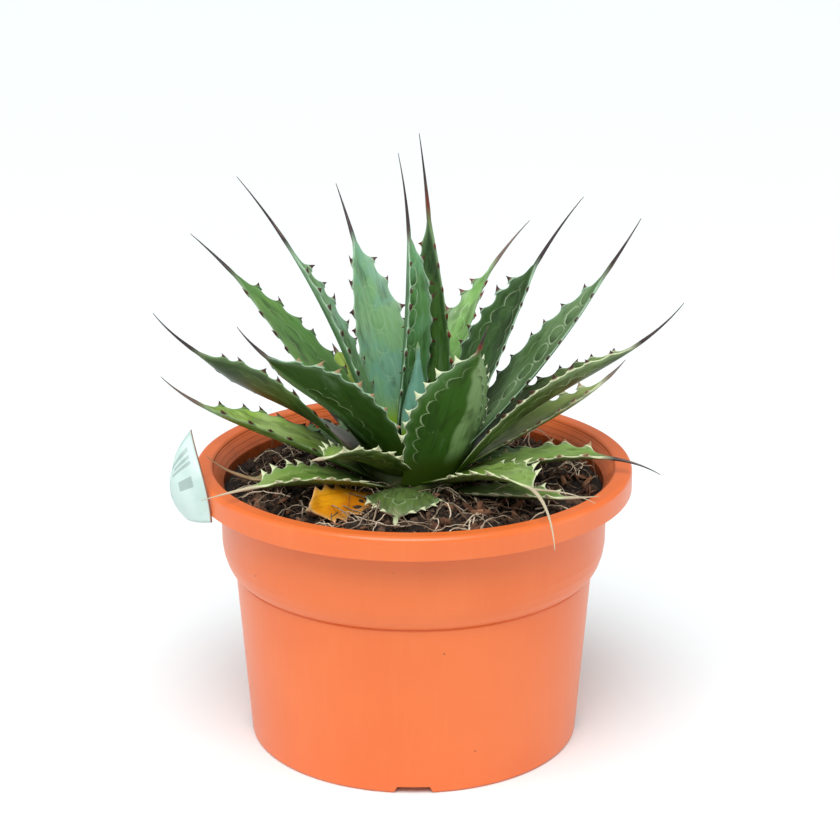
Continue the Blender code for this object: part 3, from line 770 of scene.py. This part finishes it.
def leaf_material(name, look, seed):
    n = Nodes(name)
    along, under, phase = n.attributes("along under phase")
    skin_place = skin_coordinates(n, seed)
    streaks = n.noise(n.stretched(skin_place, (1, 0.06, 1)), 700, 3, 0.55)
    clouds = n.noise(skin_place, 34, 3, 0.55, 0.4)
    grain = n.noise(skin_place, 1400, 2, 0.6)
    skin = leaf_skin(n, look, skin_place, streaks, clouds)

    # The neighbours' outlines, pressed on while the leaves were furled together.
    cell = n.math("FRACT", n.plus(phase, 4.35 + 0.37 * seed))
    reach = n.times(n.smooth(along, 0.9, 0.75), n.smooth(along, 0.06, 0.18))
    oval, oval_shade = oval_prints(n, skin_place, cell)
    claw, claw_shade = claw_prints(n, skin_place, cell, look.inset)
    ovals = n.smooth(under, 0.6, 0.4, 0, look.ovals)
    fading = n.smooth(n.noise(skin_place, 120, 2), 0.36, 0.56, 0.25, 1.0)
    line = n.math("MAXIMUM", n.times(oval, ovals), n.times(claw, look.claws))
    line = n.times(n.times(line, reach), fading)
    shade = n.math("MAXIMUM", n.times(oval_shade, ovals), n.times(claw_shade, look.claws))
    shade = n.times(n.times(shade, reach), fading)
    skin = n.mix(shade, skin, shaded(look.under, 0.65), 0.75)
    line_color = blended(look.skin, PRINT_LINE, 0.65)
    skin = n.mix(line, skin, line_color, 0.75)

    speck = n.smooth(n.cells(skin_place, 260), 0.1, 0.05)
    speck = n.times(speck, n.smooth(n.noise(skin_place, 90, 1), 0.6, 0.68))
    skin = n.mix(speck, skin, CREAM, 0.6)
    n.paint(leaf_horn(n, look, skin, streaks, grain), clouds, 0.28, 0.44)
    n.set("Specular IOR Level", 0.3)
    height = n.plus(n.times(streaks, 0.35), n.times(line, 0.7))
    height = n.plus(height, n.times(shade, -0.8))
    n.bump(height, 0.0004, 0.6)
    return n.material


def make_leaves():
    random = np.random.default_rng(7)
    for number, (key, row) in enumerate(LEAVES.items()):
        name = f"leaf_{key}"
        material = leaf_material(name, LOOKS.get(key, BACK), number)
        slot = {"bud": "young_leaf", "dry": "dry_leaf"}.get(key, "leaf")
        add_piece(f"{name}_blade", leaf_mesh(name, Leaf(*row), random), material, slot, name)


# Pot


def rounded(points, radius):
    """The outline with each corner turned into an arc-like curve of about this radius."""
    points = [np.array(point, float) for point in points]
    made = [points[0]]
    for before, corner, after in zip(points, points[1:], points[2:]):
        back, ahead = np.linalg.norm(before - corner), np.linalg.norm(after - corner)
        reach = min(radius, back * 0.45, ahead * 0.45)
        start = corner + (before - corner) / back * reach
        end = corner + (after - corner) / ahead * reach
        for share in np.linspace(0, 1, ROUND_STEPS + 1):
            made.append((1 - share) ** 2 * start + 2 * share * (1 - share) * corner + share**2 * end)
    return made + [points[-1]]


def arc(centre, radius, start, end, steps):
    angles = [radians(start + (end - start) * i / steps) for i in range(steps + 1)]
    return [(centre[0] + radius * cos(a), centre[1] + radius * sin(a)) for a in angles]


def wall_radius(height):
    return FOOT_RADIUS + (BODY_RADIUS - FOOT_RADIUS) * height / STEP_HEIGHT


def inner_mouth_radius(height):
    """Inner radius between the mouth and the collar's inner wall."""
    top = POT_HEIGHT - MOUTH_ROUND
    share = (top - height) / (top - MOUTH_END)
    return MOUTH_RADIUS + (INNER_RADIUS - MOUTH_RADIUS) * share


def pot_outline():
    """The pot's section as (radius, height): from the axis below, round the rim, to the axis inside."""
    skirt_inside = RIM_RADIUS - WALL
    outside = [(0.0, 0.0), (FOOT_RADIUS - FOOT_BEVEL, 0.0), (FOOT_RADIUS, FOOT_BEVEL)]
    outside += [(BODY_RADIUS - depth, STEP_HEIGHT - below) for depth, below in GROOVE]
    outside += [(COLLAR_FOOT_RADIUS + 0.0002, STEP_HEIGHT)]
    outside += [(COLLAR_RADIUS - inset, STEP_HEIGHT + height) for inset, height in reversed(COLLAR_CURVE)]
    outside += [(COLLAR_RADIUS, GROOVE_TOP), (skirt_inside, GROOVE_TOP)]
    outside += [(skirt_inside, SKIRT_BOTTOM), (RIM_RADIUS, SKIRT_BOTTOM)]
    outside += arc((RIM_RADIUS - RIM_ROUND, POT_HEIGHT - RIM_ROUND), RIM_ROUND, 0, 90, 10)
    inside = arc((MOUTH_RADIUS + MOUTH_ROUND, POT_HEIGHT - MOUTH_ROUND), MOUTH_ROUND, 90, 180, 8)
    for height in MOUTH_LINES:
        radius = inner_mouth_radius(height)
        for deeper, higher in ((0, LINE_DEPTH), (LINE_DEPTH, 0), (0, -LINE_DEPTH)):
            inside.append((radius + deeper, height + higher))
    inside += [(INNER_RADIUS, MOUTH_END), (INNER_RADIUS, SKIRT_BOTTOM)]
    inside += [(COLLAR_RADIUS - BULGE_INSET - WALL, STEP_HEIGHT + BULGE_HEIGHT)]
    inside += [(wall_radius(height) - WALL, height) for height in (STEP_HEIGHT, FLOOR)] + [(0.0, FLOOR)]
    return rounded(outside + inside, OUTLINE_ROUND)


def turned_mesh(name, outline, segments):
    """The outline turned about the Z axis; its ends are on the axis."""
    turn = full_turn(segments)
    inner = np.array(outline[1:-1])
    rings = np.stack([
        inner[:, :1] * np.cos(turn), inner[:, :1] * np.sin(turn), np.repeat(inner[:, 1:], segments, 1)
    ], -1)
    points = rings.reshape(-1, 3).tolist()
    faces = grid_faces(len(inner), segments)
    for ring, height in ((0, outline[0][1]), (len(inner) - 1, outline[-1][1])):
        centre = len(points)
        points.append((0.0, 0.0, height))
        for i in range(segments):
            faces.append((centre, ring * segments + i, ring * segments + (i + 1) % segments))
    return fix_normals(mesh_of(name, points, faces))


def channel_bar(name):
    """A bar as wide as a drainage channel, which lies along the X axis under the floor."""
    high = CHANNEL_WIDTH_TOP / 2
    low = high + (CHANNEL_WIDTH_BOTTOM / 2 - high) * 1.5
    bottom = -CHANNEL_HEIGHT / 2
    outline = [(-low, bottom), (low, bottom), (high, CHANNEL_HEIGHT), (-high, CHANNEL_HEIGHT)]
    points = [(x, y, z) for x in (CHANNEL_START, FOOT_RADIUS + 0.01) for y, z in outline]
    faces = [(0, 1, 2, 3), (7, 6, 5, 4)] + [(i, (i + 1) % 4, (i + 1) % 4 + 4, i + 4) for i in range(4)]
    return bpy.data.objects.new(name, fix_normals(mesh_of(name, points, faces)))


def drill(name):
    """A round bar as wide as a drain hole."""
    mesh_data = bmesh.new()
    bmesh.ops.create_cone(
        mesh_data, cap_ends=True, segments=32, radius1=HOLE_RADIUS, radius2=HOLE_RADIUS, depth=2 * FLOOR
    )
    return bpy.data.objects.new(name, finished(mesh_data, bpy.data.meshes.new(name)))


def channel_cutters():
    cutters = bpy.data.collections.new("cutters")
    bpy.context.scene.collection.children.link(cutters)
    for index in range(CHANNELS):
        angle = radians(-90 + 360 * index / CHANNELS)
        bar = channel_bar(f"channel_{index}")
        bar.rotation_euler.z = angle
        cutters.objects.link(bar)
        for place in HOLE_PLACES:
            hole = drill(f"hole_{index}_{round(place * 1000)}")
            hole.location = (place * cos(angle), place * sin(angle), FLOOR + CHANNEL_HEIGHT / 2)
            cutters.objects.link(hole)
    return cutters


def cut_away(obj, cutters):
    """Cuts the collection's objects out of obj for good, and removes them."""
    cut = obj.modifiers.new("cut", "BOOLEAN")
    cut.operand_type = "COLLECTION"
    cut.collection = cutters
    bpy.context.view_layer.update()
    graph = bpy.context.evaluated_depsgraph_get()
    mesh = bpy.data.meshes.new_from_object(obj.evaluated_get(graph))
    obj.modifiers.clear()
    obj.data = mesh
    for cutter in list(cutters.objects):
        bpy.data.objects.remove(cutter)
    bpy.data.collections.remove(cutters)


def peat_dust_and_shade(n, place):
    """How much peat dust and painted shade lie there: only inside the pot, and more towards the soil."""
    facing = n.add("VectorMath", operation="DOT_PRODUCT")
    n.put(n.add("TexCoord").outputs["Normal"], facing.inputs[0])
    n.put(n.stretched(place, (1, 1, 0)), facing.inputs[1])
    inside = n.smooth(facing.outputs["Value"], -0.01, -0.03)
    low = n.smooth(n.filled("SeparateXYZ", Vector=place).outputs[2], POT_HEIGHT, SOIL_HEIGHT)
    patchy = n.smooth(n.noise(place, 240, 4, 0.65), 0.8, 0.2, 0.5, 1.0)
    return n.times(n.times(inside, low), patchy)


def pot_material():
    n = Nodes("orange_plastic")
    place = n.coordinates()
    clouds = n.noise(place, 14, 3, 0.5)
    drawn = n.noise(n.coordinates((1, 1, 0.08)), 260, 2, 0.5)
    grain = n.noise(place, 1800, 2, 0.6)
    color = n.mix(n.smooth(clouds, 0.3, 0.7), (230, 108, 42), (235, 115, 50))
    color = n.mix(n.smooth(drawn, 0.5, 0.75), color, (240, 130, 72), 0.1)
    speck = n.smooth(n.cells(place, 75), 0.055, 0.03)
    speck = n.times(speck, n.smooth(n.noise(place, 31, 1), 0.6, 0.66))
    color = n.mix(speck, color, (96, 46, 28), 0.7)
    # Dark brown on the inner walls: peat dust, and painted shade that deepens towards the soil.
    n.paint(n.mix(peat_dust_and_shade(n, place), color, (92, 40, 20), 0.8), grain, 0.28, 0.4)
    n.set("Specular IOR Level", 0.6)
    height = n.plus(n.times(grain, 0.4), n.times(drawn, 0.6))
    n.bump(height, 0.0002, 0.25)
    return n.material


def nub_mesh():
    """The two small moulding nubs on the collar under the rim, as one mesh."""
    mesh_data = bmesh.new()
    for across in NUB_PLACES:
        made = bmesh.ops.create_icosphere(mesh_data, subdivisions=3, radius=NUB_RADIUS)
        out = (COLLAR_RADIUS**2 - across**2) ** 0.5
        bmesh.ops.scale(mesh_data, verts=made["verts"], vec=(1, 0.6, 1.2))
        place = (across, -out, SKIRT_BOTTOM - 1.6 * NUB_RADIUS)
        bmesh.ops.translate(mesh_data, verts=made["verts"], vec=place)
    mesh = finished(mesh_data, bpy.data.meshes.new("moulding_nubs"))
    mesh.shade_smooth()
    return mesh


def make_pot():
    mesh = turned_mesh("pot_shell", pot_outline(), POT_SEGMENTS)
    plastic = pot_material()
    pot = add_piece("pot_shell", mesh, plastic, "pot", "pot")
    cut_away(pot, channel_cutters())
    pot.data.shade_smooth()
    pot.data.set_sharp_from_angle(angle=radians(35))
    add_piece("moulding_nubs", nub_mesh(), plastic, "pot")


# Soil and stem


def soil_height(x, y):
    """Height of the soil's surface: it heaps up towards the stem and is lumpy."""
    radius = np.hypot(x, y)
    heap = HEAP_HEIGHT * np.exp(-((radius - HEAP_RADIUS) / HEAP_RADIUS) ** 2)
    lumps = np.sin(171 * x + 40 * y + 0.4) * np.cos(133 * y - 61 * x)
    lumps = 0.6 * lumps + 0.4 * np.sin(310 * x - 1.3) * np.sin(287 * y + 0.9)
    fine = np.sin(900 * x + 400 * y) * np.sin(780 * y - 300 * x)
    fine = fine + np.sin(1500 * x - 700 * y) * np.sin(1300 * y)
    return SOIL_HEIGHT + heap + LUMP_HEIGHT * lumps + FINE_HEIGHT * fine


def crumb_shape():
    mesh_data = bmesh.new()
    bmesh.ops.create_icosphere(mesh_data, subdivisions=1, radius=1.0)
    points = np.array([vert.co for vert in mesh_data.verts])
    faces = np.array([[vert.index for vert in face.verts] for face in mesh_data.faces])
    mesh_data.free()
    return points, faces


def random_turns(random, count):
    """Random rotation matrices."""
    quarter = random.normal(size=(count, 4))
    quarter /= np.linalg.norm(quarter, axis=1)[:, None]
    w, x, y, z = quarter.T
    rows = [
        [1 - 2 * (y * y + z * z), 2 * (x * y - z * w), 2 * (x * z + y * w)],
        [2 * (x * y + z * w), 1 - 2 * (x * x + z * z), 2 * (y * z - x * w)],
        [2 * (x * z - y * w), 2 * (y * z + x * w), 1 - 2 * (x * x + y * y)],
    ]
    return np.array(rows).transpose(2, 0, 1)


def on_soil(random, count, margin=0.004):
    inner, outer = STEM_RADIUS - 0.004, INNER_RADIUS - margin
    radius = np.sqrt(random.uniform(inner**2, outer**2, count))
    angle = random.uniform(0, 2 * pi, count)
    return radius * np.cos(angle), radius * np.sin(angle)


def scattered_mesh(name, random, sizes, flatness, sink=0.2):
    """Lumps of these sizes on the soil, each one turned and roughened its own way."""
    shape, faces = crumb_shape()
    count = len(sizes)
    x, y = on_soil(random, count)
    rough = 1 + random.uniform(-0.3, 0.3, (count, len(shape), 1))
    stretch = random.uniform(0.6, 1.0, (count, 1, 3)) * np.array(flatness)
    points = shape[None] * rough * stretch * sizes[:, None, None]
    points = np.einsum("nij,nkj->nki", random_turns(random, count), points)
    centre = np.stack([x, y, soil_height(x, y) + sizes * sink], 1)
    points = points + centre[:, None, :]
    every = (faces[None] + len(shape) * np.arange(count)[:, None, None]).reshape(-1, 3)
    mesh = mesh_of(name, points.reshape(-1, 3), every.tolist())
    add_values(mesh, "tint", np.repeat(random.uniform(0, 1, count), len(shape)))
    return mesh


def soil_material(name, dark, light, fine=900):
    n = Nodes(name)
    place = n.coordinates()
    tint = n.attribute("tint")
    blotch = n.noise(place, fine, 4, 0.65)
    color = n.mix(n.math("POWER", tint, 1.6), dark, light)
    color = n.mix(n.smooth(blotch, 0.45, 0.75), color, shaded(dark, 0.5))
    n.paint(color, blotch, 0.75, 0.98)
    n.bump(blotch, 0.0008, 0.8)
    return n.material


def root_tube(random, x, y):
    """A thin root that wanders over the soil from this place, as rings of points."""
    length = random.uniform(0.008, 0.042)
    heading = random.uniform(0, 2 * pi) + np.cumsum(random.normal(0, 0.28, ROOT_STEPS))
    share = np.linspace(0, 1, ROOT_STEPS)
    x = x + np.cumsum(np.cos(heading)) * length / ROOT_STEPS
    y = y + np.cumsum(np.sin(heading)) * length / ROOT_STEPS
    squeeze = np.minimum(1, (INNER_RADIUS - 0.003) / np.hypot(x, y))
    x, y = x * squeeze, y * squeeze
    arch = random.uniform(0.0, 0.007) * np.sin(pi * share)
    z = soil_height(x, y) + 0.0022 + arch
    radius = random.uniform(0.00018, 0.00055) * (1 - 0.5 * share)[:, None]
    turn = full_turn(ROOT_SIDES)[None, :]
    sideways = np.stack([-np.sin(heading), np.cos(heading), 0 * heading], 1)
    ring = sideways[:, None] * (radius * np.cos(turn))[..., None]
    ring = ring + np.array([0, 0, 1.0]) * (radius * np.sin(turn))[..., None]
    return ring + np.stack([x, y, z], 1)[:, None]


def roots_mesh(random):
    starts = np.stack(on_soil(random, ROOTS, 0.01), 1)
    tubes = [root_tube(random, x, y) for x, y in starts]
    faces = grid_faces(ROOT_STEPS, ROOT_SIDES) + end_faces(ROOT_STEPS, ROOT_SIDES)
    tints = random.uniform(0, 1, ROOTS)
    return merged_mesh("roots", [(tube, faces, {"tint": tint}) for tube, tint in zip(tubes, tints)])


def soil_bed_mesh():
    """The soil as a closed solid that fills the pot, lumpy on top, with a hollow for the stump."""
    hole = STEM_RADIUS - STUMP_INSET
    outline = [(0.0, STEM_BOTTOM - GAP), (hole, STUMP_SHOULDER)]
    outline += [(radius, SOIL_HEIGHT) for radius in np.linspace(hole, INNER_RADIUS, SOIL_RINGS)]
    outline += [(COLLAR_RADIUS - BULGE_INSET - WALL - GAP, STEP_HEIGHT + BULGE_HEIGHT)]
    outline += [(wall_radius(height) - WALL - GAP, height) for height in (STEP_HEIGHT, FLOOR + GAP)]
    mesh = turned_mesh("soil_bed", outline + [(0.0, FLOOR + GAP)], SOIL_SEGMENTS)
    for vertex in mesh.vertices:
        if abs(vertex.co.z - SOIL_HEIGHT) < GAP:
            vertex.co.z = soil_height(vertex.co.x, vertex.co.y)
    return mesh


def make_soil():
    random = np.random.default_rng(11)
    bed = soil_bed_mesh()
    add_values(bed, "tint", np.full(len(bed.vertices), 0.1))
    peat = soil_material("peat", (30, 20, 14), (112, 84, 62))
    add_piece("soil_bed", bed, peat, "soil", "soil")
    sizes = random.uniform(0.0006, 0.002, CRUMBS), random.uniform(0.002, 0.0042, LARGE_CRUMBS)
    add_piece("crumbs", scattered_mesh("crumbs", random, np.concatenate(sizes), (1, 1, 0.8)), peat, "soil")
    bark = soil_material("bark", (78, 46, 30), (168, 118, 84), 500)
    sizes = random.uniform(0.003, 0.009, BARK_CHIPS)
    chips = scattered_mesh("bark_chips", random, sizes, (1, 0.4, 0.14), 0.3)
    add_piece("bark_chips", chips, bark, "soil")
    fibre = soil_material("fibre", (110, 84, 62), (236, 218, 190), 300)
    add_piece("roots", roots_mesh(random), fibre, "soil")


def make_stem():
    """The short stump between the leaf bases."""
    radius = STEM_RADIUS - STUMP_INSET
    outline = [(0.0, STEM_BOTTOM)] + arc((0, STEM_CENTRE_HEIGHT), radius, -20, 90, 24)[:-1]
    outline += [(0.0, STEM_CENTRE_HEIGHT + radius)]
    n = Nodes("leaf_bases")
    place = n.coordinates()
    clouds = n.noise(place, 90, 3)
    # Olive greens, partly the stump's own colour and partly painted shade deep between the leaf bases.
    n.paint(n.mix(clouds, (84, 104, 22), (40, 54, 14)), clouds, 0.45, 0.6)
    n.bump(clouds, 0.0005, 0.5)
    add_piece("stump", turned_mesh("stump", outline, 64), n.material, "stem", "stem")


# Tag


def swell(share):
    """0 at both ends and 1 in the middle."""
    return 4 * share * (1 - share)


def tag_points(across, height):
    """Places on the tag's outer face, as in the solids; across runs from the rim to the tag's free edge."""
    angle = np.radians(TAG_ANGLE + TAG_TURN * height + TAG_BOW * swell(height))
    radius = RIM_RADIUS + TAG_SEAT + TAG_LEAN * height
    seated = np.stack([radius * np.cos(angle), radius * np.sin(angle), TAG_FOOT + TAG_HEIGHT * height], -1)
    free = TAG_FREE_FOOT + (TAG_FREE_TOP - TAG_FREE_FOOT) * height[..., None]
    free = free + TAG_FREE_BOW * swell(height)[..., None]
    mixed = seated + (free - seated) * across[..., None]
    return mixed + TAG_BELLY * swell(across)[..., None]


def tag_mesh():
    across, height = np.meshgrid(np.linspace(0, 1, TAG_COLUMNS), np.linspace(0, 1, TAG_ROWS))
    outer = tag_points(across, height)
    normal = np.cross(np.gradient(outer, axis=1), np.gradient(outer, axis=0))
    normal /= np.linalg.norm(normal, axis=-1, keepdims=True)
    inner = outer + TAG_THICKNESS * normal
    around = np.concatenate([outer, inner[:, ::-1]], 1)
    points = around.reshape(-1, 3)
    faces = grid_faces(TAG_ROWS, 2 * TAG_COLUMNS)
    for start in (0, (TAG_ROWS - 1) * 2 * TAG_COLUMNS):
        for i in range(TAG_COLUMNS - 1):
            far = 2 * TAG_COLUMNS - 1 - i
            faces.append((start + i, start + i + 1, start + far - 1, start + far))
    mesh = mesh_of("tag_film", points, faces)
    for name, share in (("sheet_across", across), ("sheet_height", height)):
        add_values(mesh, name, np.concatenate([share, share[:, ::-1]], 1).reshape(-1))
    return fix_normals(mesh)


def make_tag():
    """A thin mint film with plain grey bars for print."""
    n = Nodes("mint_film")
    film = n.noise(n.coordinates(), 45, 3)
    across, height = n.attributes("sheet_across sheet_height")
    color = n.mix(n.smooth(film, 0.3, 0.7), (182, 208, 200), (202, 222, 216))
    for left, right, low, high in TAG_BARS:
        inside = n.times(n.smooth(across, left - 0.02, left), n.smooth(across, right + 0.02, right))
        for start, end in ((low - 0.01, low), (high + 0.01, high)):
            inside = n.times(inside, n.smooth(height, start, end))
        color = n.mix(inside, color, (128, 146, 142), 0.6)
    color = n.mix(n.smooth(across, 0.035, 0.015), color, (150, 96, 76))
    n.paint(color, film, 0.22, 0.34)
    n.bump(film, 0.0005, 0.3)
    add_piece("tag_film", tag_mesh(), n.material, "tag", "tag")


# Studio


def make_camera():
    elevation = radians(CAMERA_ELEVATION)
    camera = new_object("camera", bpy.data.cameras.new("camera"))
    camera.data.sensor_width = SENSOR_WIDTH
    camera.data.lens = CAMERA_LENS
    camera.location = TARGET + CAMERA_DISTANCE * Vector((0, -cos(elevation), sin(elevation)))
    camera.rotation_euler = (pi / 2 - elevation, 0, 0)
    bpy.context.scene.camera = camera


def make_floor():
    sides = ((-1, -1), (1, -1), (1, 1), (-1, 1))
    corners = [(FLOOR_REACH * x, FLOOR_REACH * y, 0) for x, y in sides]
    floor = new_object("floor", mesh_of("floor", corners, [(0, 1, 2, 3)]))
    n = Nodes("floor")
    n.set("Base Color", n.mix(n.noise(n.coordinates(), 2, 2), *FLOOR_COLOURS))
    n.set("Roughness", 0.9)
    n.set("Specular IOR Level", 0.1)
    floor.data.materials.append(n.material)


def make_lights():
    world = bpy.data.worlds.new("studio")
    world.use_nodes = True
    background = world.node_tree.nodes["Background"]
    background.inputs[0].default_value = (1, 1, 1, 1)
    background.inputs[1].default_value = WORLD_LIGHT
    bpy.context.scene.world = world

    top = bpy.data.lights.new("top", "SUN")
    top.energy = TOP_LIGHT
    top.angle = radians(TOP_LIGHT_WIDTH)
    new_object("top", top).rotation_euler = TOP_LIGHT_TURN

    for name, place, power in SOFT_BOXES:
        soft = bpy.data.lights.new(name, "AREA")
        soft.shape = "DISK"
        soft.size = SOFT_BOX_SIZE
        soft.energy = power
        light = new_object(name, soft)
        light.location = place
        light.rotation_euler = (SOFT_BOX_TARGET - light.location).to_track_quat("-Z", "Y").to_euler()


def main():
    bpy.context.scene.view_settings.view_transform = "Standard"
    make_camera()
    make_floor()
    make_lights()
    make_pot()
    make_soil()
    make_stem()
    make_leaves()
    make_tag()


main()
